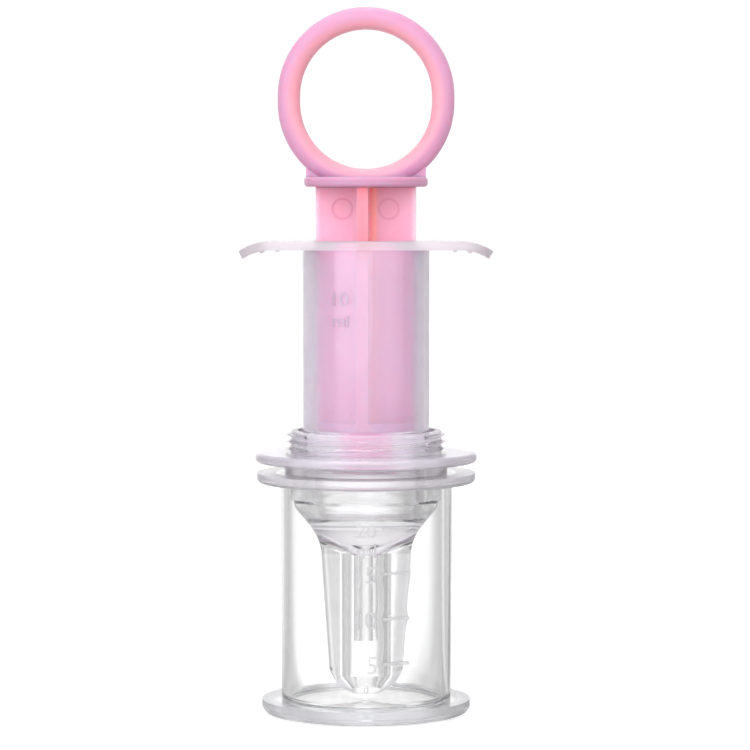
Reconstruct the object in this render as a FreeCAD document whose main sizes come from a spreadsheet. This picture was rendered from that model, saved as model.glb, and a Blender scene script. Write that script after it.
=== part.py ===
import FreeCAD, Part
import math
import os
import Sketcher
from FreeCAD import Placement, Rotation, Vector

# Oral medicine syringe with a feeding teat, standing teat-down in its measuring cup.
# Frame: +Z up along the common axis, +X along the finger wings, origin at the centre
# of the cup's underside. All lengths are in millimetres.

SIZES = {
    # plunger: finger ring, thumb plate, cross-ribbed rod, seal disc, neck and head
    "ring_half_width": 14.0,
    "ring_straight": 1.2,
    "ring_bar_radius": 2.05,
    "ring_centre_height": 111.5,
    "ring_cut_height": 96.3,
    "ring_cut_bottom": 92.8,
    "ring_cut_width": 8.2,
    "thumb_plate_radius": 11.2,
    "thumb_plate_bottom": 95.7,
    "thumb_plate_thickness": 1.8,
    "thumb_plate_rounding": 0.6,
    "web_half_width": 10.85,
    "web_thickness": 2.0,
    "web_side_top": 99.4,
    "web_slope_radius": 7.5,
    "web_middle_radius": 4.5,
    "web_middle_top": 98.2,
    "rib_reach": 9.1,
    "rib_thickness": 2.0,
    "rib_root_rounding": 1.5,
    "ejector_mark_radius": 1.8,
    "ejector_mark_offset": 4.2,
    "ejector_mark_height": 91.7,
    "ejector_mark_depth": 0.15,
    "seal_disc_bottom": 51.7,
    "seal_disc_thickness": 1.5,
    "seal_disc_radius": 9.0,
    "plunger_neck_radius": 3.6,
    "plunger_head_radius": 4.5,
    "plunger_head_bottom": 45.0,
    "plunger_head_top": 46.4,
    "plunger_turn": -4.0,
    # piston seal: two sealing bands with a waist between them
    "seal_bottom": 44.3,
    "seal_band_radius": 9.2,
    "seal_waist_radius": 8.8,
    "seal_band_height": 1.5,
    "seal_edge": 0.35,
    "seal_head_clearance": 0.05,
    # barrel: tube with a conical end, nozzle, finger wings and a screw thread
    "barrel_radius": 11.55,
    "bore_radius": 9.25,
    "barrel_top": 86.0,
    "bore_lead_in": 0.4,
    "bore_floor": 36.6,
    "bore_overrun": 1.0,
    "inner_cone_foot_radius": 3.3,
    "inner_cone_foot": 31.6,
    "outlet_top": 30.6,
    "outlet_radius": 0.9,
    "barrel_shoulder": 45.95,
    "barrel_spigot_radius": 11.1,
    "spigot_bottom": 37.0,
    "outer_cone_radius": 8.4,
    "outer_cone_top": 33.2,
    "nozzle_root": 29.25,
    "nozzle_radius": 2.2,
    "nozzle_tip": 13.5,
    "wing_flat": 16.8,
    "wing_droop_radius": 11.0,
    "wing_droop_reach": 6.2,
    "wing_thickness": 1.6,
    "wing_half_depth": 12.4,
    "wing_corner_radius": 9.0,
    "wing_trim_reach": 30.0,
    "grip_ridge_radius": 0.45,
    "grip_ridge_inner": 16.0,
    "grip_ridge_spacing": 2.75,
    "grip_ridge_half_length": 6.0,
    # screw thread between the barrel and the collar
    "thread_pitch": 2.0,
    "male_thread_turns": 2.0,
    "female_thread_turns": 1.6,
    "thread_start": 46.6,
    "thread_depth": 0.8,
    "thread_root_width": 0.9,
    "thread_crest_width": 0.5,
    "thread_sink": 0.1,
    # collar: ribbed neck, lip disc, seat and plug
    "collar_top": 51.5,
    "collar_neck_radius": 13.8,
    "collar_rib_height": 0.85,
    "collar_rib_sink": 0.3,
    "collar_rib_width": 1.08,
    "collar_rib_sweep": 80.0,
    "collar_rib_pitch": 1.22,
    "collar_first_rib": 48.3,
    "collar_disc_radius": 20.2,
    "collar_disc_bottom": 45.7,
    "collar_disc_top": 47.5,
    "collar_disc_rounding": 0.75,
    "collar_seat_radius": 14.8,
    "collar_seat_bottom": 43.8,
    "collar_plug_radius": 13.75,
    "collar_plug_bottom": 39.3,
    "collar_bore_radius": 12.5,
    "collar_recess_radius": 13.3,
    "collar_recess_top": 46.1,
    "collar_lip_top": 44.5,
    "collar_lip_radius": 12.2,
    # teat: flange held in the collar, groove, shoulder, funnel and drinking tip
    "teat_flange_radius": 13.2,
    "teat_flange_top": 45.9,
    "teat_flange_bottom": 44.55,
    "teat_groove_radius": 12.1,
    "teat_shoulder_radius": 13.15,
    "teat_shoulder_top": 39.25,
    "teat_shoulder_bottom": 38.6,
    "teat_shoulder_bend": 3.2,
    "teat_cone_top_radius": 12.3,
    "teat_cone_top": 36.8,
    "teat_cone_foot_radius": 9.95,
    "teat_cone_foot": 33.75,
    "teat_throat_bend": 9.0,
    "teat_throat_radius": 8.15,
    "teat_throat": 28.2,
    "teat_end_radius": 6.75,
    "teat_end": 8.0,
    "teat_corner_bend": 6.8,
    "teat_crown_radius": 3.0,
    "teat_crown": 3.7,
    "teat_tip": 3.15,
    "teat_inner_radius": 11.2,
    "teat_inner_gap": 0.12,
    "teat_cavity_radius": 3.35,
    "teat_cavity_top": 29.65,
    "teat_cavity_bevel": 7.4,
    "teat_cavity_floor_radius": 2.0,
    "teat_cavity_floor": 5.75,
    "teat_hole_radius": 0.3,
    # measuring cup: foot, wall, mouth flange and raised marks
    "cup_foot_radius": 19.0,
    "cup_foot_thickness": 2.5,
    "cup_foot_rounding": 1.4,
    "cup_floor": 2.6,
    "cup_floor_rounding": 1.0,
    "cup_lower_radius": 15.45,
    "cup_upper_radius": 15.8,
    "cup_inner_radius": 13.9,
    "cup_flange_radius": 19.95,
    "cup_flange_bottom": 41.95,
    "cup_flange_rounding": 1.0,
    "cup_height": 43.8,
    "cup_gate_radius": 2.1,
    "cup_gate_depth": 0.7,
    "mark_spacing": 8.08,
    "mark_first": 10.8,
    "mark_height": 0.55,
    "mark_relief": 0.3,
    "mark_start_angle": 10.6,
    "mark_sweep": 18.2,
}

MARK_COUNT = 4
RIB_COUNT = 4
COLLAR_RIB_COUNT = 3
COLLAR_SIDES = 2
FRONT = -90.0
EXACT = 1e-4
NEAR = 0.02


class Size:
    """A length together with the spreadsheet expression that gives it."""

    def __init__(self, text, value):
        self.text = text
        self.value = value

    def __add__(self, other):
        return joined(self, "+", other, self.value + as_size(other).value)

    def __sub__(self, other):
        return joined(self, "-", other, self.value - as_size(other).value)

    def __mul__(self, other):
        return joined(self, "*", other, self.value * as_size(other).value)

    def __neg__(self):
        return Size(f"(-{self.text})", -self.value)


def as_size(number):
    if isinstance(number, Size):
        return number
    return Size(str(number), float(number))


def joined(left, sign, right, value):
    return Size(f"({left.text} {sign} {as_size(right).text})", value)


def size(name):
    return Size("Sizes." + name, SIZES[name])


def make_sheet(doc):
    sheet = doc.addObject("Spreadsheet::Sheet", "Sizes")
    for row, (name, value) in enumerate(SIZES.items(), start=1):
        sheet.set(f"A{row}", name)
        sheet.set(f"B{row}", str(value))
        sheet.setAlias(f"B{row}", name)
    doc.recompute()
    return sheet


def new_body(doc, label):
    body = doc.addObject("PartDesign::Body", label)
    body.Label = label
    return body


def new_sketch(body, name, plane, offset=None):
    """A sketch on one of the body's origin planes, moved along the plane's normal."""
    sketch = body.newObject("Sketcher::SketchObject", name)
    support = next(f for f in body.Origin.OriginFeatures if f.Role == plane)
    sketch.AttachmentSupport = (support, [""])
    sketch.MapMode = "FlatFace"
    if offset is not None:
        sketch.AttachmentOffset = Placement(Vector(0, 0, offset.value), Rotation())
        sketch.setExpression("AttachmentOffset.Base.z", offset.text)
    return sketch


def constrain(sketch, *terms):
    """Adds a constraint. A Size as its last term is bound to the sheet."""
    if isinstance(terms[-1], Size):
        index = sketch.addConstraint(Sketcher.Constraint(*terms[:-1], terms[-1].value))
        sketch.setExpression(f"Constraints[{index}]", terms[-1].text)
    else:
        sketch.addConstraint(Sketcher.Constraint(*terms))


def pin(sketch, geometry, point, across, up):
    """Holds one point of a sketch at (across, up)."""
    for kind, axis, distance in (("DistanceX", -2, across), ("DistanceY", -1, up)):
        if distance.value == 0:
            constrain(sketch, "PointOnObject", geometry, point, axis)
        else:
            constrain(sketch, kind, -1, 1, geometry, point, distance)


def arc_between(start, end, bend):
    """Arc of radius |bend| from start to end. A positive bend turns left, a negative one right."""
    chord = end - start
    radius = abs(bend)
    rise = math.sqrt(radius ** 2 - (chord.Length / 2) ** 2)
    left = Vector(-chord.y, chord.x, 0).normalize()
    centre = (start + end) * 0.5 + left * math.copysign(rise, bend)
    first, last = (start, end) if bend > 0 else (end, start)
    start_angle = math.atan2(first.y - centre.y, first.x - centre.x)
    end_angle = math.atan2(last.y - centre.y, last.x - centre.x)
    if end_angle < start_angle:
        end_angle += 2 * math.pi
    circle = Part.Circle(centre, Vector(0, 0, 1), radius)
    return Part.ArcOfCircle(circle, start_angle, end_angle)


def draw_outline(sketch, corners):
    """Closed outline through corners (across, up), each held by its own sizes.

    A third term on a corner bends the stretch that leaves it: its radius, positive
    for an arc that turns left and negative for one that turns right.
    """
    corners = [tuple(as_size(term) for term in corner) for corner in corners]
    places = [Vector(corner[0].value, corner[1].value, 0) for corner in corners]
    stretches = []
    for index, corner in enumerate(corners):
        start = places[index]
        end = places[(index + 1) % len(places)]
        if len(corner) == 2:
            geometry = sketch.addGeometry(Part.LineSegment(start, end))
            stretches.append((geometry, 1, 2))
        else:
            bend = corner[2]
            geometry = sketch.addGeometry(arc_between(start, end, bend.value))
            ends = (1, 2) if bend.value > 0 else (2, 1)
            stretches.append((geometry, *ends))
    for index, (geometry, _, end_point) in enumerate(stretches):
        following, start_point, _ = stretches[(index + 1) % len(stretches)]
        constrain(sketch, "Coincident", geometry, end_point, following, start_point)
    for corner, (geometry, start_point, _) in zip(corners, stretches):
        pin(sketch, geometry, start_point, corner[0], corner[1])
        if len(corner) == 3:
            radius = corner[2] if corner[2].value > 0 else -corner[2]
            constrain(sketch, "Radius", geometry, radius)


def draw_circle(sketch, across, up, radius):
    circle = Part.Circle(Vector(across.value, up.value, 0), Vector(0, 0, 1), radius.value)
    geometry = sketch.addGeometry(circle)
    pin(sketch, geometry, 3, across, up)
    constrain(sketch, "Radius", geometry, radius)


def turned(body, sketch, name, kind="PartDesign::Revolution"):
    """A full turn of the sketch about the upright axis."""
    feature = body.newObject(kind, name)
    feature.Profile = sketch
    feature.ReferenceAxis = (sketch, ["V_Axis"])
    feature.Angle = 360
    return feature


def extruded(body, sketch, name, length, kind="PartDesign::Pad", both_ways=False):
    feature = body.newObject(kind, name)
    feature.Profile = sketch
    feature.setExpression("Length", length.text)
    if both_ways:
        feature.SideType = "Symmetric"
    return feature


def rounded(body, base, name, radius, is_wanted):
    """Fillets every edge of the base feature that is_wanted picks."""
    body.Document.recompute()
    names = [f"Edge{i}" for i, edge in enumerate(base.Shape.Edges, start=1) if is_wanted(edge)]
    if not names:
        raise RuntimeError(f"{name} found no edges to round")
    feature = body.newObject("PartDesign::Fillet", name)
    feature.Base = (base, names)
    feature.Radius = radius.value
    feature.setExpression("Radius", radius.text)
    body.Tip = feature
    return feature


def is_ring_edge(edge, radius, height):
    """True for a full circle about the upright axis at that radius and height."""
    if not isinstance(edge.Curve, Part.Circle):
        return False
    centre = edge.Curve.Center
    on_axis = math.hypot(centre.x, centre.y) < EXACT
    return on_axis and abs(edge.Curve.Radius - radius) < EXACT and abs(centre.z - height) < EXACT


def is_upright_edge(edge, reach):
    """True for a straight upright edge at that distance from the axis."""
    if not isinstance(edge.Curve, Part.Line):
        return False
    first, last = (vertex.Point for vertex in edge.Vertexes)
    upright = math.hypot(first.x - last.x, first.y - last.y) < EXACT
    return upright and abs(math.hypot(first.x, first.y) - reach) < NEAR


def helical_ridge(body, name, radius, depth, start):
    """Screw thread ridge: a trapezium swept up round the axis.

    radius is that of the wall it stands on, and depth is positive outwards.
    """
    half_root = size("thread_root_width") * 0.5
    half_crest = size("thread_crest_width") * 0.5
    sink = size("thread_sink") if depth.value > 0 else -size("thread_sink")
    sketch = new_sketch(body, name + "_profile", "XZ_Plane")
    draw_outline(sketch, [
        (radius - sink, start - half_root),
        (radius + depth, start - half_crest),
        (radius + depth, start + half_crest),
        (radius - sink, start + half_root),
    ])
    ridge = body.newObject("PartDesign::AdditiveHelix", name)
    ridge.Profile = sketch
    ridge.ReferenceAxis = (sketch, ["V_Axis"])
    ridge.Mode = "pitch-turns-angle"
    ridge.setExpression("Pitch", "Sizes.thread_pitch")
    ridge.setExpression("Turns", f"Sizes.{name}_turns")
    body.Tip = ridge
    return ridge


def make_plunger(doc):
    """One moulding: finger ring, thumb plate, four-ribbed rod, seal disc, neck and head."""
    body = new_body(doc, "plunger")

    half_width = size("ring_half_width")
    upper = size("ring_centre_height") + size("ring_straight") * 0.5
    lower = size("ring_centre_height") - size("ring_straight") * 0.5
    bar = new_sketch(body, "ring_bar", "XY_Plane", lower)
    draw_circle(bar, half_width, as_size(0), size("ring_bar_radius"))
    path = new_sketch(body, "ring_path", "XZ_Plane")
    draw_outline(path, [
        (half_width, lower),
        (half_width, upper, half_width),
        (0, upper + half_width, half_width),
        (-half_width, upper),
        (-half_width, lower, half_width),
        (0, lower - half_width, half_width),
    ])
    ring = body.newObject("PartDesign::AdditivePipe", "ring")
    ring.Profile = bar
    ring.Spine = path

    below_plate = new_sketch(body, "below_plate", "XZ_Plane")
    half_cut = size("web_half_width")
    draw_outline(below_plate, [
        (-half_cut, size("ring_cut_bottom")),
        (half_cut, size("ring_cut_bottom")),
        (half_cut, size("ring_cut_height")),
        (-half_cut, size("ring_cut_height")),
    ])
    extruded(body, below_plate, "ring_trim", size("ring_cut_width"), "PartDesign::Pocket", True)

    plate_sketch = new_sketch(body, "plate_outline", "XY_Plane", size("thumb_plate_bottom"))
    draw_circle(plate_sketch, as_size(0), as_size(0), size("thumb_plate_radius"))
    plate = extruded(body, plate_sketch, "thumb_plate", size("thumb_plate_thickness"))
    plate_top = SIZES["thumb_plate_bottom"] + SIZES["thumb_plate_thickness"]
    rounded(body, plate, "plate_rim", size("thumb_plate_rounding"), lambda edge: (
        is_ring_edge(edge, SIZES["thumb_plate_radius"], SIZES["thumb_plate_bottom"])
        or is_ring_edge(edge, SIZES["thumb_plate_radius"], plate_top)))

    web_sketch = new_sketch(body, "web_outline", "XZ_Plane")
    web_bottom = size("thumb_plate_bottom") + size("thumb_plate_thickness") * 0.5
    draw_outline(web_sketch, [
        (-size("web_half_width"), web_bottom),
        (size("web_half_width"), web_bottom),
        (size("web_half_width"), size("web_side_top")),
        (size("web_slope_radius"), size("web_side_top")),
        (size("web_middle_radius"), size("web_middle_top")),
        (-size("web_middle_radius"), size("web_middle_top")),
        (-size("web_slope_radius"), size("web_side_top")),
        (-size("web_half_width"), size("web_side_top")),
    ])
    extruded(body, web_sketch, "ring_web", size("web_thickness"), both_ways=True)

    rod_bottom = size("seal_disc_bottom") + size("seal_disc_thickness")
    rib_sketch = new_sketch(body, "rib_outline", "XY_Plane", rod_bottom)
    half_rib = size("rib_thickness") * 0.5
    draw_outline(rib_sketch, [
        (0, -half_rib),
        (size("rib_reach"), -half_rib),
        (size("rib_reach"), half_rib),
        (0, half_rib),
    ])
    rib = extruded(body, rib_sketch, "rib", size("thumb_plate_bottom") - rod_bottom)
    ribs = body.newObject("PartDesign::PolarPattern", "ribs")
    ribs.Originals = [rib]
    ribs.Axis = (rib_sketch, ["N_Axis"])
    ribs.Angle = 360
    ribs.Occurrences = RIB_COUNT
    body.Tip = ribs
    root_reach = SIZES["rib_thickness"] / 2 * math.sqrt(2)
    rounded(body, ribs, "rib_roots", size("rib_root_rounding"),
            lambda edge: is_upright_edge(edge, root_reach))

    foot_sketch = new_sketch(body, "foot_outline", "XZ_Plane")
    draw_outline(foot_sketch, [
        (0, size("plunger_head_bottom")),
        (size("plunger_head_radius"), size("plunger_head_bottom")),
        (size("plunger_head_radius"), size("plunger_head_top")),
        (size("plunger_neck_radius"), size("plunger_head_top")),
        (size("plunger_neck_radius"), size("seal_disc_bottom")),
        (size("seal_disc_radius"), size("seal_disc_bottom")),
        (size("seal_disc_radius"), rod_bottom),
        (0, rod_bottom),
    ])
    turned(body, foot_sketch, "disc_neck_and_head")

    mark_sketch = new_sketch(body, "ejector_mark_circles", "XZ_Plane", half_rib)
    for side in (-1, 1):
        draw_circle(mark_sketch, size("ejector_mark_offset") * side,
                    size("ejector_mark_height"), size("ejector_mark_radius"))
    extruded(body, mark_sketch, "ejector_marks", size("ejector_mark_depth"), "PartDesign::Pocket")

    body.Placement = Placement(Vector(), Rotation(Vector(0, 0, 1), SIZES["plunger_turn"]))
    return body


def make_piston_seal(doc):
    """Soft piston: snaps over the plunger's head and seals in the bore with two bands."""
    body = new_body(doc, "piston_seal")
    gap = size("seal_head_clearance")
    band = size("seal_band_radius")
    waist = size("seal_waist_radius")
    edge = size("seal_edge")
    bottom = size("seal_bottom")
    top = size("seal_disc_bottom") - gap
    neck = size("plunger_neck_radius") + gap
    head = size("plunger_head_radius") + gap
    lower_band_top = bottom + size("seal_band_height")
    upper_band_bottom = top - size("seal_band_height")
    sketch = new_sketch(body, "seal_outline", "XZ_Plane")
    draw_outline(sketch, [
        (0, bottom),
        (band - edge, bottom),
        (band, bottom + edge),
        (band, lower_band_top),
        (waist, lower_band_top + edge),
        (waist, upper_band_bottom - edge),
        (band, upper_band_bottom),
        (band, top),
        (neck, top),
        (neck, size("plunger_head_top") + gap),
        (head, size("plunger_head_top") + gap),
        (head, size("plunger_head_bottom") - gap),
        (0, size("plunger_head_bottom") - gap),
    ])
    turned(body, sketch, "seal")
    return body


def make_barrel(doc):
    """Tube with finger wings, a conical end with its nozzle, and a male screw thread."""
    body = new_body(doc, "barrel")
    top = size("barrel_top")
    flat = size("wing_flat")
    thickness = size("wing_thickness")
    outer_bend = size("wing_droop_radius")
    inner_bend = outer_bend - thickness
    droop = math.asin(SIZES["wing_droop_reach"] / SIZES["wing_droop_radius"])
    outer_drop = outer_bend * (1 - math.cos(droop))
    inner_drop = inner_bend * (1 - math.cos(droop))
    outer_tip = flat + size("wing_droop_reach")
    inner_tip = flat + inner_bend * math.sin(droop)
    wing_sketch = new_sketch(body, "wing_profile", "XZ_Plane")
    draw_outline(wing_sketch, [
        (-inner_tip, top - thickness - inner_drop, -inner_bend),
        (-flat, top - thickness),
        (flat, top - thickness, -inner_bend),
        (inner_tip, top - thickness - inner_drop),
        (outer_tip, top - outer_drop, outer_bend),
        (flat, top),
        (-flat, top, outer_bend),
        (-outer_tip, top - outer_drop),
    ])
    extruded(body, wing_sketch, "wings", size("wing_half_depth") * 2, both_ways=True)

    plan_sketch = new_sketch(body, "wing_plan", "XY_Plane", top)
    corner = size("wing_corner_radius")
    side = size("wing_half_depth")
    beyond = size("wing_trim_reach")
    draw_outline(plan_sketch, [
        (-beyond, -beyond),
        (beyond, -beyond),
        (beyond, beyond),
        (-beyond, beyond),
    ])
    draw_outline(plan_sketch, [
        (outer_tip - corner, -side, corner),
        (outer_tip, corner - side),
        (outer_tip, side - corner, corner),
        (outer_tip - corner, side),
        (corner - outer_tip, side, corner),
        (-outer_tip, side - corner),
        (-outer_tip, corner - side, corner),
        (corner - outer_tip, -side),
    ])
    extruded(body, plan_sketch, "wing_corners", size("wing_droop_radius"), "PartDesign::Pocket")

    ridge_sketch = new_sketch(body, "grip_ridge_ends", "XZ_Plane")
    second_ridge = size("grip_ridge_inner") + size("grip_ridge_spacing")
    second_run = SIZES["grip_ridge_inner"] + SIZES["grip_ridge_spacing"] - SIZES["wing_flat"]
    second_drop = inner_bend.value - math.sqrt(inner_bend.value ** 2 - second_run ** 2)
    for side_sign in (-1, 1):
        draw_circle(ridge_sketch, size("grip_ridge_inner") * side_sign,
                    top - thickness, size("grip_ridge_radius"))
        draw_circle(ridge_sketch, second_ridge * side_sign,
                    top - thickness - second_drop, size("grip_ridge_radius"))
    extruded(body, ridge_sketch, "grip_ridges", size("grip_ridge_half_length") * 2, both_ways=True)

    tube_sketch = new_sketch(body, "tube_outline", "XZ_Plane")
    draw_outline(tube_sketch, [
        (0, size("nozzle_tip")),
        (size("nozzle_radius"), size("nozzle_tip")),
        (size("nozzle_radius"), size("nozzle_root")),
        (size("outer_cone_radius"), size("outer_cone_top")),
        (size("barrel_spigot_radius"), size("spigot_bottom")),
        (size("barrel_spigot_radius"), size("barrel_shoulder")),
        (size("barrel_radius"), size("barrel_shoulder")),
        (size("barrel_radius"), top),
        (0, top),
    ])
    turned(body, tube_sketch, "tube")

    bore_sketch = new_sketch(body, "bore_outline", "XZ_Plane")
    below = size("nozzle_tip") - size("bore_overrun")
    above = top + size("bore_overrun")
    draw_outline(bore_sketch, [
        (0, below),
        (size("outlet_radius"), below),
        (size("outlet_radius"), size("outlet_top")),
        (size("inner_cone_foot_radius"), size("inner_cone_foot")),
        (size("bore_radius"), size("bore_floor")),
        (size("bore_radius"), top - size("bore_lead_in")),
        (size("bore_radius") + size("bore_lead_in"), top),
        (size("bore_radius") + size("bore_lead_in"), above),
        (0, above),
    ])
    turned(body, bore_sketch, "bore", "PartDesign::Groove")

    helical_ridge(body, "male_thread", size("barrel_radius"), size("thread_depth"),
                  size("thread_start"))
    return body


def make_collar(doc):
    """Ring nut: holds the teat's flange to the barrel, and its plug closes the cup."""
    body = new_body(doc, "collar")
    neck = size("collar_neck_radius")
    sketch = new_sketch(body, "collar_outline", "XZ_Plane")
    draw_outline(sketch, [
        (size("collar_lip_radius"), size("collar_plug_bottom")),
        (size("collar_plug_radius"), size("collar_plug_bottom")),
        (size("collar_plug_radius"), size("collar_seat_bottom")),
        (size("collar_seat_radius"), size("collar_seat_bottom")),
        (size("collar_seat_radius"), size("collar_disc_bottom")),
        (size("collar_disc_radius"), size("collar_disc_bottom")),
        (size("collar_disc_radius"), size("collar_disc_top")),
        (neck, size("collar_disc_top")),
        (neck, size("collar_top")),
        (size("collar_bore_radius"), size("collar_top")),
        (size("collar_bore_radius"), size("collar_recess_top")),
        (size("collar_recess_radius"), size("collar_recess_top")),
        (size("collar_recess_radius"), size("collar_lip_top")),
        (size("collar_lip_radius"), size("collar_lip_top")),
    ])
    ring = turned(body, sketch, "collar_ring")
    rounded(body, ring, "disc_rim", size("collar_disc_rounding"), lambda edge: (
        is_ring_edge(edge, SIZES["collar_disc_radius"], SIZES["collar_disc_bottom"])
        or is_ring_edge(edge, SIZES["collar_disc_radius"], SIZES["collar_disc_top"])))

    grips = new_sketch(body, "grip_sections", "XZ_Plane")
    grips.AttachmentOffset = Placement(
        Vector(), Rotation(Vector(0, 1, 0), SIZES["collar_rib_sweep"] / -2))
    root = neck - size("collar_rib_sink")
    crest = neck + size("collar_rib_height")
    half_width = size("collar_rib_width") * 0.5
    for index in range(COLLAR_RIB_COUNT):
        height = size("collar_first_rib") + size("collar_rib_pitch") * index
        draw_outline(grips, [
            (root, height - half_width),
            (crest, height),
            (root, height + half_width),
        ])
    grip = turned(body, grips, "grip_ribs")
    grip.setExpression("Angle", "Sizes.collar_rib_sweep")
    both_sides = body.newObject("PartDesign::PolarPattern", "grip_ribs_both_sides")
    both_sides.Originals = [grip]
    both_sides.Axis = (sketch, ["V_Axis"])
    both_sides.Angle = 360
    both_sides.Occurrences = COLLAR_SIDES
    body.Tip = both_sides

    helical_ridge(body, "female_thread", size("collar_bore_radius"), -size("thread_depth"),
                  size("thread_start") + size("thread_pitch") * 0.5)
    return body


def make_teat(doc):
    """Soft teat: its groove sits in the collar's lip and its inside follows the barrel's cone."""
    body = new_body(doc, "teat")
    gap = size("teat_inner_gap")
    sketch = new_sketch(body, "teat_outline", "XZ_Plane")
    draw_outline(sketch, [
        (size("teat_hole_radius"), size("teat_tip")),
        (size("teat_crown_radius"), size("teat_crown"), size("teat_corner_bend")),
        (size("teat_end_radius"), size("teat_end")),
        (size("teat_throat_radius"), size("teat_throat"), -size("teat_throat_bend")),
        (size("teat_cone_foot_radius"), size("teat_cone_foot")),
        (size("teat_cone_top_radius"), size("teat_cone_top"), size("teat_shoulder_bend")),
        (size("teat_shoulder_radius"), size("teat_shoulder_bottom")),
        (size("teat_shoulder_radius"), size("teat_shoulder_top")),
        (size("teat_groove_radius"), size("teat_shoulder_top")),
        (size("teat_groove_radius"), size("teat_flange_bottom")),
        (size("teat_flange_radius"), size("teat_flange_bottom")),
        (size("teat_flange_radius"), size("teat_flange_top")),
        (size("teat_inner_radius"), size("teat_flange_top")),
        (size("teat_inner_radius"), size("spigot_bottom") - gap),
        (size("outer_cone_radius") + gap, size("outer_cone_top") - gap),
        (size("teat_cavity_radius"), size("teat_cavity_top")),
        (size("teat_cavity_radius"), size("teat_cavity_bevel")),
        (size("teat_cavity_floor_radius"), size("teat_cavity_floor")),
        (size("teat_hole_radius"), size("teat_cavity_floor")),
    ])
    turned(body, sketch, "teat_shell")
    return body


def make_measuring_cup(doc):
    """Clear cup with a wide foot, a mouth flange and raised volume marks."""
    body = new_body(doc, "measuring_cup")
    sketch = new_sketch(body, "cup_outline", "XZ_Plane")
    draw_outline(sketch, [
        (0, size("cup_gate_depth")),
        (size("cup_gate_radius"), 0),
        (size("cup_foot_radius"), 0),
        (size("cup_foot_radius"), size("cup_foot_thickness")),
        (size("cup_lower_radius"), size("cup_foot_thickness")),
        (size("cup_upper_radius"), size("cup_flange_bottom")),
        (size("cup_flange_radius"), size("cup_flange_bottom")),
        (size("cup_flange_radius"), size("cup_height")),
        (size("cup_inner_radius"), size("cup_height")),
        (size("cup_inner_radius"), size("cup_floor")),
        (0, size("cup_floor")),
    ])
    shell = turned(body, sketch, "cup_shell")
    foot = rounded(body, shell, "foot_rim", size("cup_foot_rounding"),
                   lambda edge: is_ring_edge(edge, SIZES["cup_foot_radius"], 0))
    flange = rounded(body, foot, "flange_rim", size("cup_flange_rounding"), lambda edge: (
        is_ring_edge(edge, SIZES["cup_flange_radius"], SIZES["cup_flange_bottom"])))
    rounded(body, flange, "floor_corner", size("cup_floor_rounding"),
            lambda edge: is_ring_edge(edge, SIZES["cup_inner_radius"], SIZES["cup_floor"]))

    marks = new_sketch(body, "mark_sections", "XZ_Plane")
    marks.AttachmentOffset = Placement(
        Vector(), Rotation(Vector(0, 1, 0), FRONT + SIZES["mark_start_angle"]))
    inside = size("cup_lower_radius") - size("mark_relief")
    outside = size("cup_upper_radius") + size("mark_relief")
    for index in range(MARK_COUNT):
        low = size("mark_first") + size("mark_spacing") * index - size("mark_height") * 0.5
        draw_outline(marks, [
            (inside, low),
            (outside, low),
            (outside, low + size("mark_height")),
            (inside, low + size("mark_height")),
        ])
    raised = turned(body, marks, "volume_marks")
    raised.setExpression("Angle", "Sizes.mark_sweep")
    return body


def check_and_write(doc, bodies):
    doc.recompute()
    for item in doc.Objects:
        if any(word in item.State for word in ("Invalid", "Error")):
            raise RuntimeError(f"{item.Label} did not compute: {item.State}")
    for body in bodies:
        shape = body.Shape
        if shape.isNull() or not shape.isValid() or len(shape.Solids) != 1:
            raise RuntimeError(f"{body.Label} is not one valid solid")
    os.makedirs("parts", exist_ok=True)
    for body in bodies:
        body.Shape.exportStep(f"parts/{body.Label}.step")
        print(f"{body.Label}: {body.Shape.Volume:.1f} mm3, box {body.Shape.BoundBox}")


def main():
    doc = FreeCAD.newDocument("oral_syringe")
    make_sheet(doc)
    makers = (
        make_plunger,
        make_piston_seal,
        make_barrel,
        make_collar,
        make_teat,
        make_measuring_cup,
    )
    check_and_write(doc, [make(doc) for make in makers])


main()
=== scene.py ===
import math

import bmesh
import bpy
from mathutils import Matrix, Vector


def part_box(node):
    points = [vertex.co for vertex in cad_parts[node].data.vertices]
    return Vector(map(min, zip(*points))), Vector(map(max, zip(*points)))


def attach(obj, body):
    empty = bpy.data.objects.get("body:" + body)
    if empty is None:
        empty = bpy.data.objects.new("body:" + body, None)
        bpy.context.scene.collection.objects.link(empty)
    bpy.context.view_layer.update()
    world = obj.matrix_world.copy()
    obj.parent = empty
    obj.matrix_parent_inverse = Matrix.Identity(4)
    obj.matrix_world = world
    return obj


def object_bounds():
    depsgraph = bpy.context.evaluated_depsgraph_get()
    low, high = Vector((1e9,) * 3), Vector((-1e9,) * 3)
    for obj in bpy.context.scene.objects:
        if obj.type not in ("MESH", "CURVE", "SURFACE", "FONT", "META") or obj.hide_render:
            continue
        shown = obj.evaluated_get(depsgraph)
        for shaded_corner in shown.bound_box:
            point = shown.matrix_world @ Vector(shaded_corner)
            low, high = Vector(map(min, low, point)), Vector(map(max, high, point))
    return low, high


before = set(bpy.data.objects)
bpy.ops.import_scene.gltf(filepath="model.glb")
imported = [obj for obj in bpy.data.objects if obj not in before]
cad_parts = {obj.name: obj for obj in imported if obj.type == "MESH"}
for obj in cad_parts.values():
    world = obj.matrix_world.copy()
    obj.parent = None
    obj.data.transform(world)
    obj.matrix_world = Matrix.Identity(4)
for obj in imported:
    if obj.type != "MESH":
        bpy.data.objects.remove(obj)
cad_low, cad_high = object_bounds()
scene = bpy.context.scene


# ---------------------------------------------------------------- node helpers
def new_material(name):
    material = bpy.data.materials.new(name)
    material.use_nodes = True
    tree = material.node_tree
    return material, tree, tree.nodes["Principled BSDF"]


def output_of(tree):
    """The material's output node."""
    return next(n for n in tree.nodes if n.type == "OUTPUT_MATERIAL")


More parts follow.
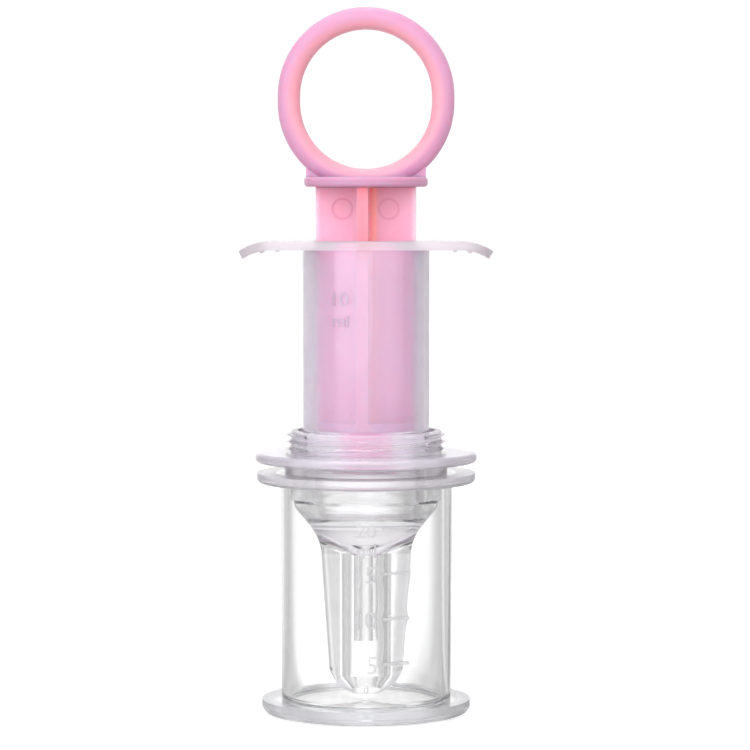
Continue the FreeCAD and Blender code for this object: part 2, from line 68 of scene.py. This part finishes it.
def feed(tree, socket, value):
    """Puts a number, a colour or another node's output into a socket."""
    if isinstance(value, bpy.types.NodeSocket):
        tree.links.new(value, socket)
    elif isinstance(value, tuple) and socket.type == "RGBA":
        socket.default_value = (*value, 1.0)
    else:
        socket.default_value = value


def compute(tree, operation, first, second=0.0):
    node = tree.nodes.new("ShaderNodeMath")
    node.operation = operation
    feed(tree, node.inputs[0], first)
    feed(tree, node.inputs[1], second)
    return node.outputs["Value"]


def place(tree, turn=0.0):
    """A point's X, Y and Z in metres, turned about the upright axis."""
    source = tree.nodes.new("ShaderNodeTexCoord")
    turned = tree.nodes.new("ShaderNodeMapping")
    turned.inputs["Rotation"].default_value = (0.0, 0.0, math.radians(turn))
    split = tree.nodes.new("ShaderNodeSeparateXYZ")
    tree.links.new(source.outputs["Object"], turned.inputs["Vector"])
    tree.links.new(turned.outputs["Vector"], split.inputs["Vector"])
    return split.outputs["X"], split.outputs["Y"], split.outputs["Z"]


def distance(tree, first, second):
    """How far a point is from another that lies first and second away along two square directions."""
    squares = compute(tree, "ADD", compute(tree, "POWER", first, 2.0), compute(tree, "POWER", second, 2.0))
    return compute(tree, "SQRT", squares)


def step(tree, source, start, end, low=0.0, high=1.0):
    """A value that runs smoothly from low to high as source runs from start to end."""
    node = tree.nodes.new("ShaderNodeMapRange")
    node.interpolation_type = "SMOOTHSTEP"
    sockets = {"Value": source, "From Min": start, "From Max": end, "To Min": low, "To Max": high}
    for name, value in sockets.items():
        feed(tree, node.inputs[name], value)
    return node.outputs["Result"]


def overlap(tree, *masks):
    """1 where every mask is 1, and 0 where any of them is 0."""
    share = masks[0]
    for mask in masks[1:]:
        share = compute(tree, "MULTIPLY", share, mask)
    return share


def blended(tree, share, first, second):
    """The first colour where share is 0 and the second where it is 1."""
    node = tree.nodes.new("ShaderNodeMix")
    node.data_type = "RGBA"
    feed(tree, node.inputs["Factor"], share)
    colours = [i for i in node.inputs if i.type == "RGBA"]
    feed(tree, colours[0], first)
    feed(tree, colours[1], second)
    return next(o for o in node.outputs if o.type == "RGBA")


def noise(tree, scale, detail=3.0, stretch=(1.0, 1.0, 1.0)):
    """A noise over the object's own coordinates, in metres."""
    source = tree.nodes.new("ShaderNodeTexCoord")
    spread = tree.nodes.new("ShaderNodeMapping")
    spread.inputs["Scale"].default_value = stretch
    grain = tree.nodes.new("ShaderNodeTexNoise")
    grain.inputs["Scale"].default_value = scale
    grain.inputs["Detail"].default_value = detail
    tree.links.new(source.outputs["Object"], spread.inputs["Vector"])
    tree.links.new(spread.outputs["Vector"], grain.inputs["Vector"])
    return grain.outputs["Fac"]


def bump(tree, shader, source, height, strength):
    node = tree.nodes.new("ShaderNodeBump")
    node.inputs["Strength"].default_value = strength
    node.inputs["Distance"].default_value = height
    tree.links.new(source, node.inputs["Height"])
    tree.links.new(node.outputs["Normal"], shader.inputs["Normal"])


def dress(node, material):
    """Gives a CAD node its material."""
    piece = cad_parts[node]
    piece.data.materials.clear()
    piece.data.materials.append(material)


# ---------------------------------------------------------------- colours shared by materials
BLACK = (0.0, 0.0, 0.0)
NEUTRAL = (0.985, 0.985, 0.985)
GREY = (0.64, 0.64, 0.64)
TUBE_CAST_LAVENDER = (0.97, 0.91, 1.0)
# The part of a noise's range that most of it lies in.
NOISE_SPAN = (0.35, 0.65)


# ---------------------------------------------------------------- the plunger's pink plastic
# From here to the measuring cup, each pair of lengths is where a change of material, or of painted light or
# shade, starts and where it is
# complete, in metres: a height above the cup's foot, or a distance from the axis or from a plane through it.
RING_HALF_HEIGHT = 0.01665
RING_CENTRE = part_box("plunger")[1].z - RING_HALF_HEIGHT
RING_BAR = (0.0132, 0.0150)
RING_FOOT = (0.0957, 0.0977)
RIM_BOTTOM = (0.0953, 0.0958)
RIM_TOP = (0.0978, 0.0974)
ROD_EDGE_LIGHT = (0.0080, 0.0090)
BARREL_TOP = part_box("barrel")[1].z
ROD_IN_BARREL_LIGHT = (BARREL_TOP, BARREL_TOP - 0.0025)
NECK_TOP = (0.0517, 0.0515)
NECK_IN_PISTON = (0.0463, 0.0466)
RIB_FACE = (0.0013, 0.0010)
RIB_DEPTH = (0.0012, 0.0020)
SHADED_CORNER_WIDTH = (0.0030, 0.0018)
SHADED_CORNER_DEPTH = (0.0009, 0.0012)
SHADED_CORNER_SIDE = (-0.0008, 0.0008)
FLANK_ROOT = (0.0030, 0.0045)
FLANK_TIP = (0.0089, 0.0085)
EJECTOR_OFFSET = 0.0042
EJECTOR_HEIGHT = 0.0917
EJECTOR_RADIUS = 0.0018
EJECTOR_LINE = (0.00030, 0.00012)
FRONT_FACE = (-0.0002, -0.0008)
# How far the material is turned, in degrees, to face the way that the plunger's ribs do at rest.
PLUNGER_TURN = 4.0
# How much of each painted shade or light shows where it is strongest, and of the ribs' painted shade on their
# flanks.
SHADED_CORNER_SHARE = 0.85
IN_BARREL_LIGHT_SHARE = 0.6
FLANK_SHADE_SHARE = 0.45


def ejector_lines(tree, across, y, z):
    """The edges of the two round ejector marks on the rod's front."""
    beside = compute(tree, "SUBTRACT", across, EJECTOR_OFFSET)
    above = compute(tree, "SUBTRACT", z, EJECTOR_HEIGHT)
    from_edge = compute(tree, "SUBTRACT", distance(tree, beside, above), EJECTOR_RADIUS)
    line = step(tree, compute(tree, "ABSOLUTE", from_edge), *EJECTOR_LINE)
    return overlap(tree, line, step(tree, y, *FRONT_FACE))


def painted_rib_shades(tree, x, across, deep):
    """Masks of the painted shade on the front and back ribs and of the painted shade in the corners at their
    +X side, both fainter on the ribs' flanks.
    """
    flank = overlap(tree, step(tree, deep, *FLANK_ROOT), step(tree, deep, *FLANK_TIP))
    strength = step(tree, flank, 0.0, 1.0, 1.0, FLANK_SHADE_SHARE)
    rib_shade = overlap(tree, step(tree, across, *RIB_FACE), step(tree, deep, *RIB_DEPTH), strength)
    shaded_corner = overlap(tree, step(tree, across, *SHADED_CORNER_WIDTH), step(tree, deep, *SHADED_CORNER_DEPTH), strength)
    return rib_shade, overlap(tree, step(tree, x, *SHADED_CORNER_SIDE), shaded_corner)


def pink_plastic():
    """Glossy pink polypropylene with painted shade and light: deep coral on the front and back ribs and their
    +X corners, coral and lavender on the finger ring and the thumb plate's rim, paler side edges, and a paler,
    bluer pink inside the barrel.

    Its neck is painted a brighter pink and given a painted glow, standing in for the light that the milky
    piston round it scatters.
    """
    material, tree, shader = new_material("pink_plastic")
    x, y, z = place(tree, PLUNGER_TURN)
    across = compute(tree, "ABSOLUTE", x)
    deep = compute(tree, "ABSOLUTE", y)
    grain = noise(tree, 60.0, 2.0)
    rib_shade, shaded_corner = painted_rib_shades(tree, x, across, deep)
    neck = step(tree, z, *NECK_TOP)

    colour = blended(tree, step(tree, grain, *NOISE_SPAN), (0.80, 0.41, 0.54), (0.82, 0.44, 0.57))
    # Painted light: the rod's side edges are a paler pink, standing in for the light on them.
    colour = blended(tree, step(tree, across, *ROD_EDGE_LIGHT), colour, (0.86, 0.58, 0.66))
    colour = blended(tree, ejector_lines(tree, across, y, z), colour, (0.74, 0.34, 0.47))
    # Painted shade: coral in the corners at the ribs' +X side, where shade falls.
    colour = blended(tree, overlap(tree, shaded_corner, SHADED_CORNER_SHARE), colour, (1.0, 0.38, 0.32))
    # Painted shade: the front and back ribs are a deep coral, standing in for the shade deep in the thick
    # translucent ribs.
    colour = blended(tree, rib_shade, colour, (0.95, 0.26, 0.32))

    # Painted shade and sheen: the finger ring is a darker pink, coral towards its hole for painted shade and
    # lavender towards its outside for painted sheen.
    from_centre = distance(tree, x, compute(tree, "SUBTRACT", z, RING_CENTRE))
    ring_shade_and_sheen = blended(tree, step(tree, from_centre, *RING_BAR), (0.66, 0.33, 0.39), (0.53, 0.28, 0.42))
    colour = blended(tree, step(tree, z, *RING_FOOT), colour, ring_shade_and_sheen)
    # Painted shade and sheen: the thumb plate's rim is a darker, lavender pink.
    rim_shade_and_sheen = overlap(tree, step(tree, z, *RIM_BOTTOM), step(tree, z, *RIM_TOP))
    colour = blended(tree, rim_shade_and_sheen, colour, (0.44, 0.26, 0.38))
    # Painted light: the rod is a paler, bluer pink where it sits in the barrel, standing in for the light that
    # reaches it through the barrel's walls.
    barrel_light = overlap(tree, step(tree, z, *ROD_IN_BARREL_LIGHT), IN_BARREL_LIGHT_SHARE)
    colour = blended(tree, barrel_light, colour, (0.89, 0.50, 0.77))
    # Painted light: the neck is a brighter pink, standing in for the light that the milky piston scatters onto
    # it.
    colour = blended(tree, neck, colour, (0.95, 0.36, 0.66))
    feed(tree, shader.inputs["Base Color"], colour)

    # Painted glow: the neck emits a little pink light where it sits in the piston, standing in for the light
    # that the milky piston scatters.
    painted_glow = overlap(tree, neck, step(tree, z, *NECK_IN_PISTON))
    feed(tree, shader.inputs["Emission Color"], blended(tree, painted_glow, BLACK, (0.80, 0.14, 0.42)))
    shader.inputs["Emission Strength"].default_value = 0.40
    feed(tree, shader.inputs["Roughness"], step(tree, grain, *NOISE_SPAN, 0.34, 0.42))
    bump(tree, shader, noise(tree, 900.0, 4.0), height=0.00002, strength=0.15)
    shader.inputs["IOR"].default_value = 1.49
    shader.inputs["Subsurface Weight"].default_value = 1.0
    shader.inputs["Subsurface Radius"].default_value = (1.0, 0.2, 0.2)
    shader.inputs["Subsurface Scale"].default_value = 0.004
    return material


dress("plunger", pink_plastic())


# ---------------------------------------------------------------- clear plastic and silicone
WETTED_IOR = 1.08
# How far a face is turned from the ray that meets it, from 0 face on to 1 at a glancing angle, for the painted
# shade at glancing angles and the painted glow.
GLANCING_SHADE_FACING = (0.40, 0.95)
PAINTED_GLOW_FACING = (0.05, 0.30)
# How much paler the plastic's cloudiness makes it in places.
PALER_BY = 0.015


def clear(name, body, glancing_shade, rough, haze, ior, inside, frosts=(), tint=None, wetted=None, coat=0.0, glow=None):
    """Clear plastic or silicone.

    body is its colour face on; the colour after it is the painted shade that it takes at a glancing angle,
    standing in for the grey that clear walls take from their surroundings at their edges. rough is the span of
    its roughness, haze how far it is from clear, and inside the colour and density of its depth. Each of
    frosts gives the mask of a hazy stretch, its colour, roughness and haze. tint gives the mask of a painted
    colour cast over the body colour, and that colour.
    wetted is the mask of the faces that lie close against the next piece, where little light turns back.
    glow gives the mask and strength of a painted glow, standing in for the light that milky silicone scatters
    towards its edges.
    """
    material, tree, shader = new_material(name)
    x, y, z = place(tree)
    radius = distance(tree, x, y)
    grain = noise(tree, 45.0, 2.0)
    weight = tree.nodes.new("ShaderNodeLayerWeight")
    weight.inputs["Blend"].default_value = 0.5
    facing = weight.outputs["Facing"]

    paler = tuple(min(1.0, c + PALER_BY) for c in body)
    colour = blended(tree, step(tree, grain, *NOISE_SPAN), body, paler)
    # Painted light: a colour cast laid over the body colour where the tint's mask is.
    if tint:
        tint_mask, tint_colour = tint
        colour = blended(tree, tint_mask(tree, radius, z), colour, tint_colour)
    # Painted shade: the colour darkens towards glancing angles, standing in for the grey that clear walls take
    # from their surroundings at their edges.
    colour = blended(tree, step(tree, facing, *GLANCING_SHADE_FACING), colour, glancing_shade)
    roughness = step(tree, grain, *NOISE_SPAN, *rough)
    clarity = 1.0 - haze
    for frost_mask, frost_colour, frost_rough, frost_haze in frosts:
        share = frost_mask(tree, radius, z)
        colour = blended(tree, share, colour, frost_colour)
        roughness = step(tree, share, 0.0, 1.0, roughness, frost_rough)
        clarity = step(tree, share, 0.0, 1.0, clarity, 1.0 - frost_haze)
    if wetted:
        ior = step(tree, wetted(tree, radius, z), 0.0, 1.0, ior, WETTED_IOR)
    # Painted glow: the piece emits light towards its edges where the glow's mask is, standing in for the light
    # that milky silicone scatters.
    if glow:
        painted_glow_mask, painted_glow_strength = glow
        share = overlap(tree, step(tree, facing, *PAINTED_GLOW_FACING), painted_glow_mask(tree, radius, z))
        feed(tree, shader.inputs["Emission Color"], blended(tree, share, BLACK, paler))
        shader.inputs["Emission Strength"].default_value = painted_glow_strength

    feed(tree, shader.inputs["Base Color"], colour)
    feed(tree, shader.inputs["Roughness"], roughness)
    feed(tree, shader.inputs["Transmission Weight"], clarity)
    feed(tree, shader.inputs["IOR"], ior)
    bump(tree, shader, noise(tree, 120.0, 2.0, (1.0, 1.0, 0.35)), height=0.00003, strength=0.015)
    shader.inputs["Coat Weight"].default_value = coat
    shader.inputs["Coat Roughness"].default_value = 0.03
    absorb = tree.nodes.new("ShaderNodeVolumeAbsorption")
    absorb.inputs["Color"].default_value = (*inside[0], 1.0)
    absorb.inputs["Density"].default_value = inside[1]
    tree.links.new(absorb.outputs["Volume"], output_of(tree).inputs["Volume"])
    return material


# ---------------------------------------------------------------- the piston
SOCKET_WALL = (0.00480, 0.00465)
SOCKET_FLOOR = (0.0447, 0.0449)
PISTON_TOP = (0.0458, 0.0472)


def piston_socket(tree, radius, z):
    """The socket in the piston, where the plunger's neck and head show through."""
    return overlap(tree, step(tree, radius, *SOCKET_WALL), step(tree, z, *SOCKET_FLOOR))


def piston_top(tree, radius, z):
    return step(tree, z, *PISTON_TOP)


# The piston's top has a painted glow towards its edges, standing in for the light that the milky silicone
# scatters.
dress("piston_seal", clear(
    "milky_silicone", body=(0.97, 0.94, 0.98), glancing_shade=(0.93, 0.90, 0.95), rough=(0.15, 0.2), haze=0.12, ior=1.43,
    inside=(GREY, 5.0), wetted=piston_socket, glow=(piston_top, 0.13)))


# ---------------------------------------------------------------- the barrel
WING_FOOT = (0.0798, 0.0804)
WING_ROOT = (0.01165, 0.0121)
TUBE_FOOT = (0.0500, 0.0530)
TUBE_CAST_FOOT = (0.0490, 0.0530)
WORD_FACE = (0.01157, 0.01159)
WORD_TOP = (0.0796, 0.0790)
THREAD_FOOT = (0.0462, 0.0466)
THREAD_TOP = (0.0515, 0.0510)
THREAD_ROOT = (0.0110, 0.0114)
# The middle of the wall below the tube: a cone that widens by its slope for each metre of height, up to the
# straight part at its widest. What lies outside it is the wall's outer face.
CONE_SLOPE = 1.08
CONE_START = -0.02953
CONE_WIDEST = 0.0102
CONE_MIDDLE = (-0.0001, 0.0001)
SPIGOT_RIM = (0.0126, 0.0124)
SPIGOT_NOZZLE = (0.0366, 0.0358)
SPIGOT_FOOT = (0.02925, 0.0294)
SPIGOT_TOP = (0.0517, 0.0514)


def wings(tree, radius, z):
    return overlap(tree, step(tree, z, *WING_FOOT), step(tree, radius, *WING_ROOT))


def barrel_tube(tree, radius, z):
    return step(tree, z, *TUBE_FOOT)


def painted_tube_cast(tree, radius, z):
    return step(tree, z, *TUBE_CAST_FOOT)


def barrel_marks(tree, radius, z):
    """The raised words, which stand out from the barrel's wall."""
    return overlap(tree, step(tree, radius, *WORD_FACE), step(tree, z, *WORD_TOP))


def barrel_thread(tree, radius, z):
    band = overlap(tree, step(tree, z, *THREAD_FOOT), step(tree, z, *THREAD_TOP))
    return overlap(tree, band, step(tree, radius, *THREAD_ROOT))


def spigot(tree, radius, z):
    """The barrel's outside where the teat and the collar lie round it."""
    cone = compute(tree, "ADD", compute(tree, "MULTIPLY", z, CONE_SLOPE), CONE_START)
    middle = compute(tree, "MINIMUM", cone, CONE_WIDEST)
    beyond = compute(tree, "SUBTRACT", radius, middle)
    side = overlap(tree, step(tree, beyond, *CONE_MIDDLE), step(tree, radius, *SPIGOT_RIM))
    faces = compute(tree, "MAXIMUM", side, step(tree, z, *SPIGOT_NOZZLE))
    return overlap(tree, faces, step(tree, z, *SPIGOT_FOOT), step(tree, z, *SPIGOT_TOP))


# Painted light: the tube's lavender tint and the lavender of its frost are a painted cast of the pink
# plunger's light inside it; the frost's haze and roughness are the tube's own, and below the tube the barrel
# stays neutral.
barrel_plastic = clear(
    "lavender_clear_plastic", body=NEUTRAL, glancing_shade=(0.82, 0.75, 0.86), rough=(0.05, 0.08), haze=0.03, ior=1.49,
    inside=(GREY, 5.0), tint=(painted_tube_cast, (0.96, 0.92, 0.98)), wetted=spigot, coat=0.4,
    frosts=[
        (barrel_tube, TUBE_CAST_LAVENDER, 0.22, 0.13),
        (wings, (0.78, 0.71, 0.75), 0.3, 0.30),
        (barrel_thread, NEUTRAL, 0.3, 0.05),
        (barrel_marks, (0.93, 0.84, 0.95), 0.3, 0.14),
    ])
dress("barrel", barrel_plastic)


# ---------------------------------------------------------------- the collar
DISC_ROOT = (0.0142, 0.0152)
COLLAR_NECK_FOOT = (0.0474, 0.0478)
COLLAR_NECK_WALL = (0.0142, 0.0139)
COLLAR_THREAD_FOOT = (0.0462, 0.0466)
COLLAR_THREAD_ROOT = (0.0132, 0.0129)
COLLAR_BORE = (0.0136, 0.0134)


def collar_disc(tree, radius, z):
    return step(tree, radius, *DISC_ROOT)


def collar_neck(tree, radius, z):
    return overlap(tree, step(tree, z, *COLLAR_NECK_FOOT), step(tree, radius, *COLLAR_NECK_WALL))


def collar_thread(tree, radius, z):
    return overlap(tree, step(tree, z, *COLLAR_THREAD_FOOT), step(tree, radius, *COLLAR_THREAD_ROOT))


def collar_inside(tree, radius, z):
    return step(tree, radius, *COLLAR_BORE)


dress("collar", clear(
    "collar_clear_plastic", body=(0.99, 0.985, 0.99), glancing_shade=(0.86, 0.84, 0.88), rough=(0.04, 0.08), haze=0.04,
    ior=1.49, inside=(GREY, 5.0), wetted=collar_inside,
    frosts=[
        (collar_disc, (0.95, 0.91, 0.97), 0.2, 0.28),
        (collar_thread, NEUTRAL, 0.3, 0.05),
        (collar_neck, (0.99, 0.97, 1.0), 0.12, 0.16),
    ]))


# ---------------------------------------------------------------- the teat
# The middle of the teat's wall: a cone that widens by its slope for each metre of height. What lies inside it
# is the wall's inner face.
TEAT_SLOPE = 0.71
TEAT_START = -0.01439
TEAT_MIDDLE = (0.0001, -0.0001)
CAVITY_TOP = (0.02955, 0.0297)


def teat_inside(tree, radius, z):
    """The teat's inside above its cavity, and its groove and flange."""
    middle = compute(tree, "ADD", compute(tree, "MULTIPLY", z, TEAT_SLOPE), TEAT_START)
    beyond = compute(tree, "SUBTRACT", radius, middle)
    return overlap(tree, step(tree, beyond, *TEAT_MIDDLE), step(tree, z, *CAVITY_TOP))


dress("teat", clear(
    "clear_silicone", body=NEUTRAL, glancing_shade=(0.66, 0.66, 0.66), rough=(0.02, 0.05), haze=0.02, ior=1.42,
    inside=(GREY, 12.0), wetted=teat_inside))


# ---------------------------------------------------------------- the measuring cup
MOUTH_FOOT = (0.0405, 0.0418)
MOUTH_ROOT = (0.0158, 0.0168)
FOOT_TOP = (0.0030, 0.0024)
FOOT_ROOT = (0.0160, 0.0172)
MARKS_BOTTOM = (0.0060, 0.0065)
MARKS_TOP = (0.0400, 0.0395)
# The cup's wall widens by its slope for each metre of height. The marks are what stands out from it.
WALL_SLOPE = 0.0083
MARK_FACE = (0.01552, 0.01562)


def cup_mouth(tree, radius, z):
    return overlap(tree, step(tree, z, *MOUTH_FOOT), step(tree, radius, *MOUTH_ROOT))


def cup_foot(tree, radius, z):
    return overlap(tree, step(tree, z, *FOOT_TOP), step(tree, radius, *FOOT_ROOT))


def cup_marks(tree, radius, z):
    """The raised marks, which stand out from the slightly tapered wall."""
    proud = compute(tree, "SUBTRACT", radius, compute(tree, "MULTIPLY", z, WALL_SLOPE))
    band = overlap(tree, step(tree, z, *MARKS_BOTTOM), step(tree, z, *MARKS_TOP))
    return overlap(tree, step(tree, proud, *MARK_FACE), band)


cup_plastic = clear(
    "clear_plastic", body=(0.99, 0.99, 0.99), glancing_shade=GREY, rough=(0.01, 0.03), haze=0.01, ior=1.49,
    inside=(GREY, 8.0),
    frosts=[
        (cup_mouth, (0.90, 0.88, 0.91), 0.22, 0.24),
        (cup_foot, (0.72, 0.72, 0.73), 0.15, 0.30),
        (cup_marks, (0.62, 0.62, 0.62), 0.30, 0.30),
    ])
dress("measuring_cup", cup_plastic)


# ---------------------------------------------------------------- raised words
# What each says, then its left edge, width, foot and height, as lengths along the wall.
CUP_WORDS = (
    ("5", 0.00025, 0.00160, 0.0089, 0.0032),
    ("10", -0.00165, 0.00355, 0.0170, 0.0032),
    ("15", -0.00175, 0.00355, 0.0252, 0.0030),
    ("20", -0.00170, 0.00355, 0.0334, 0.0022),
    ("ml", -0.00170, 0.00355, 0.0298, 0.0025),
)
BARREL_WORDS = (
    ("10", -0.00610, 0.00300, 0.0745, 0.0024),
    ("ml", -0.00610, 0.00300, 0.0707, 0.0022),
)
CUP_WALL_FOOT = 0.0025
CUP_WALL_RADIUS = 0.01545
CUP_FLARE = 0.0089
BARREL_RADIUS = 0.01155
SUNK = 0.00006
PROUD = 0.00020
# Corners of the letters' flat outlines that are nearer than this, in the font's own units, are one.
SAME_CORNER = 1e-5


def raised_word(name, words, left, width, foot, height, wall, node, material, slot):
    """Letters that stand out of a round wall, whose radius at a height is wall(height)."""
    curve = bpy.data.curves.new(name, "FONT")
    curve.body = words
    curve.extrude = 0.5
    curve.resolution_u = 6
    flat = bpy.data.objects.new(name, curve)
    scene.collection.objects.link(flat)
    evaluated = flat.evaluated_get(bpy.context.evaluated_depsgraph_get())
    work = bmesh.new()
    work.from_mesh(bpy.data.meshes.new_from_object(evaluated))
    bpy.data.objects.remove(flat)
    bmesh.ops.remove_doubles(work, verts=work.verts, dist=SAME_CORNER)
    across = [v.co.x for v in work.verts]
    up = [v.co.y for v in work.verts]
    for v in work.verts:
        along = left + width * (v.co.x - min(across)) / (max(across) - min(across))
        z = foot + height * (v.co.y - min(up)) / (max(up) - min(up))
        surface = wall(z)
        radius = surface + (PROUD if v.co.z > 0.0 else -SUNK)
        angle = along / surface
        v.co = (radius * math.sin(angle), -radius * math.cos(angle), z)
    bmesh.ops.recalc_face_normals(work, faces=work.faces)
    mesh = bpy.data.meshes.new(name)
    work.to_mesh(mesh)
    work.free()
    mesh.materials.append(material)
    raised = bpy.data.objects.new(name, mesh)
    scene.collection.objects.link(raised)
    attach(raised, node)


def cup_wall(z):
    """The cup's outer radius, which grows a little with height."""
    return CUP_WALL_RADIUS + (z - CUP_WALL_FOOT) * CUP_FLARE


def barrel_wall(z):
    """The barrel's outer radius, the same at every height."""
    return BARREL_RADIUS


for word in CUP_WORDS:
    raised_word("cup_word_" + word[0], *word, cup_wall, "cup", cup_plastic, "clear_plastic")
for word in BARREL_WORDS:
    raised_word("barrel_word_" + word[0], *word, barrel_wall, "barrel", barrel_plastic,
                "lavender_clear_plastic")


# ---------------------------------------------------------------- studio
# How bright the studio is at each bearing from the object, in degrees clockwise from the back.
PANELS = (
    (-180, 1.0), (-172, 1.0), (-166, 0.72), (-146, 0.72), (-141, 1.0), (-129, 1.0), (-124, 0.75),
    (-101, 0.78), (-96, 1.0), (-84, 1.0), (-79, 0.75), (-53, 0.66), (-49, 0.62), (-42, 0.60), (-38, 0.62),
    (-30, 0.68), (-22, 1.25), (9, 1.25), (20, 0.68), (39, 0.60), (42, 0.9), (48, 0.9), (52, 0.5),
    (80, 0.5), (85, 0.9), (95, 0.9), (100, 0.5), (125, 0.5), (130, 0.9), (140, 0.9), (146, 0.55), (180, 1.0),
)
# How steeply a ray rises, as its direction's Z, where the panels start to give way to the sky and
# where they have given way.
SKYLINE = (0.2, 0.6)
SKY = (0.85, 0.87, 0.90)
FLOOR_RADIUS = 3.0
FLOOR_GAP = 0.0002
LAMP_TARGET = Vector((0.0, 0.0, 0.065))
CAMERA_PLACE = (0.00164, -0.612, 0.0968)
# How far the camera looks down, in degrees.
CAMERA_TILT = 3.3


def panels(tree, vector):
    """The studio's brightness in the direction of a vector, seen from above."""
    split = tree.nodes.new("ShaderNodeSeparateXYZ")
    bearing = tree.nodes.new("ShaderNodeMath")
    bearing.operation = "ARCTAN2"
    turn = tree.nodes.new("ShaderNodeMapRange")
    turn.inputs["From Min"].default_value = -math.pi
    turn.inputs["From Max"].default_value = math.pi
    shades = tree.nodes.new("ShaderNodeValToRGB")
    stops = shades.color_ramp.elements
    while len(stops) < len(PANELS):
        stops.new(0.5)
    for stop, (degrees, level) in zip(stops, PANELS):
        stop.position = degrees / 360.0 + 0.5
        stop.color = (level, level, level, 1.0)
    tree.links.new(vector, split.inputs["Vector"])
    tree.links.new(split.outputs["X"], bearing.inputs[0])
    tree.links.new(split.outputs["Y"], bearing.inputs[1])
    tree.links.new(bearing.outputs["Value"], turn.inputs["Value"])
    tree.links.new(turn.outputs["Result"], shades.inputs["Fac"])
    return shades.outputs["Color"], split


def seen(tree, hidden, shown):
    """hidden for light that goes round the studio, and shown for what the camera sees of it."""
    path = tree.nodes.new("ShaderNodeLightPath")
    mix = tree.nodes.new("ShaderNodeMixShader")
    tree.links.new(path.outputs["Is Camera Ray"], mix.inputs["Fac"])
    tree.links.new(hidden, mix.inputs[1])
    tree.links.new(shown, mix.inputs[2])
    return mix.outputs["Shader"]


def make_world():
    world = bpy.data.worlds.new("studio")
    scene.world = world
    world.use_nodes = True
    tree = world.node_tree
    tree.nodes.clear()
    source = tree.nodes.new("ShaderNodeTexCoord")
    level, split = panels(tree, source.outputs["Generated"])
    above = step(tree, split.outputs["Z"], *SKYLINE)
    glow = tree.nodes.new("ShaderNodeBackground")
    feed(tree, glow.inputs["Color"], blended(tree, above, level, SKY))
    plain = tree.nodes.new("ShaderNodeBackground")
    plain.inputs["Color"].default_value = (1.0, 1.0, 1.0, 1.0)
    plain.inputs["Strength"].default_value = 1.05
    output = tree.nodes.new("ShaderNodeOutputWorld")
    surface = seen(tree, glow.outputs["Background"], plain.outputs["Background"])
    tree.links.new(surface, output.inputs["Surface"])


def make_floor():
    mesh = bpy.data.meshes.new("floor")
    work = bmesh.new()
    bmesh.ops.create_circle(work, cap_ends=True, segments=96, radius=FLOOR_RADIUS)
    work.to_mesh(mesh)
    work.free()
    floor = bpy.data.objects.new("floor", mesh)
    scene.collection.objects.link(floor)
    floor.location = (0.0, 0.0, cad_low.z - FLOOR_GAP)
    material, tree, shader = new_material("floor_white")
    speckle = blended(tree, noise(tree, 30.0), (0.58, 0.58, 0.58), (0.60, 0.60, 0.60))
    feed(tree, shader.inputs["Base Color"], speckle)
    shader.inputs["Roughness"].default_value = 0.8
    shader.inputs["Emission Color"].default_value = (1.0, 1.0, 1.0, 1.0)
    shader.inputs["Emission Strength"].default_value = 0.60
    source = tree.nodes.new("ShaderNodeTexCoord")
    glow = tree.nodes.new("ShaderNodeEmission")
    level, _ = panels(tree, source.outputs["Object"])
    feed(tree, glow.inputs["Color"], level)
    surface = seen(tree, glow.outputs["Emission"], shader.outputs["BSDF"])
    tree.links.new(surface, output_of(tree).inputs["Surface"])
    mesh.materials.append(material)


def make_lamp(name, position, size, power, colour):
    data = bpy.data.lights.new(name, "AREA")
    data.shape = "RECTANGLE"
    data.size, data.size_y = size
    data.energy = power
    data.color = colour
    lamp = bpy.data.objects.new(name, data)
    scene.collection.objects.link(lamp)
    lamp.location = position
    lamp.rotation_mode = "QUATERNION"
    lamp.rotation_quaternion = (Vector(position) - LAMP_TARGET).to_track_quat("Z", "Y")
    lamp.visible_camera = False


def make_camera():
    data = bpy.data.cameras.new("camera")
    data.sensor_width = 36.0
    data.lens = 161.76
    data.clip_start = 0.01
    data.clip_end = 20.0
    camera = bpy.data.objects.new("camera", data)
    scene.collection.objects.link(camera)
    camera.location = CAMERA_PLACE
    camera.rotation_euler = (math.radians(90.0 - CAMERA_TILT), 0.0, 0.0)
    scene.camera = camera


make_world()
make_floor()
make_lamp("key", position=(-0.36, -0.85, 0.40), size=(1.5, 1.2), power=13.0, colour=(0.95, 0.92, 1.0))
make_lamp("top", position=(-0.1, 0.1, 0.9), size=(0.8, 0.6), power=3.0, colour=(0.92, 0.95, 1.0))
make_lamp("fill", position=(0.55, -0.60, 0.20), size=(0.9, 0.9), power=2.8, colour=(1.0, 0.96, 1.0))
make_camera()

# Light crosses many clear walls here, so it is followed further than Blender's own limits.
scene.cycles.max_bounces = 32
scene.cycles.transmission_bounces = 32
scene.cycles.transparent_max_bounces = 16
scene.cycles.glossy_bounces = 8
scene.cycles.diffuse_bounces = 6
scene.view_settings.view_transform = "Standard"
